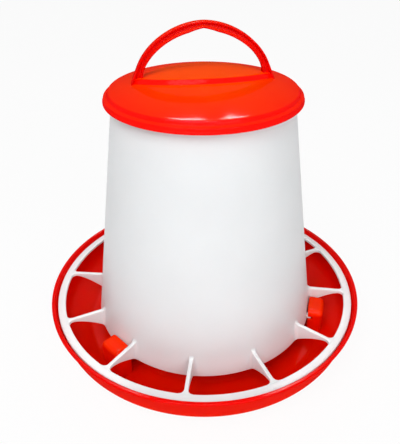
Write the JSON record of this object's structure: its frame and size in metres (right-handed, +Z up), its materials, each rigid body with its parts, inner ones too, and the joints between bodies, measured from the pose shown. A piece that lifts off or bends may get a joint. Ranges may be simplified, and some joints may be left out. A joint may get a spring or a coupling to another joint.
{
  "type": "hopper feeder",
  "caption": "Round poultry feeder: translucent tapered hopper with a finned guard ring, standing in a round feed tray, under a domed lid with an arched carrying handle.",
  "frame": {"origin": "middle of the tray's underside, on the plane that it stands on", "axes": "+Z up along the hopper's axis; -Y is the side that faces the picture's viewer; the handle's arch stands 8 degrees anticlockwise from X, seen from above"},
  "size_m": [0.3, 0.3, 0.287],
  "materials": {
    "feed_tray": "gloss",
    "hopper": "satin",
    "lid": "gloss",
    "handle": "gloss"
  },
  "bodies": {
    "tray": {"feed_tray": "feed_tray"},
    "hopper_body": {"hopper": "hopper"},
    "lid_body": {"lid": "lid", "handle": "handle"}
  },
  "joints": [
    {"name": "hopper_twist", "type": "hinge", "parent": "tray", "child": "hopper_body", "pos_m": [0, 0, 0], "axis": [0, 0, 1], "range_deg": [0, 13.2]},
    {"name": "lid_lift", "type": "slide", "parent": "hopper_body", "child": "lid_body", "axis": [0, 0, 1], "range_m": [0, 0.08]}
  ]
}
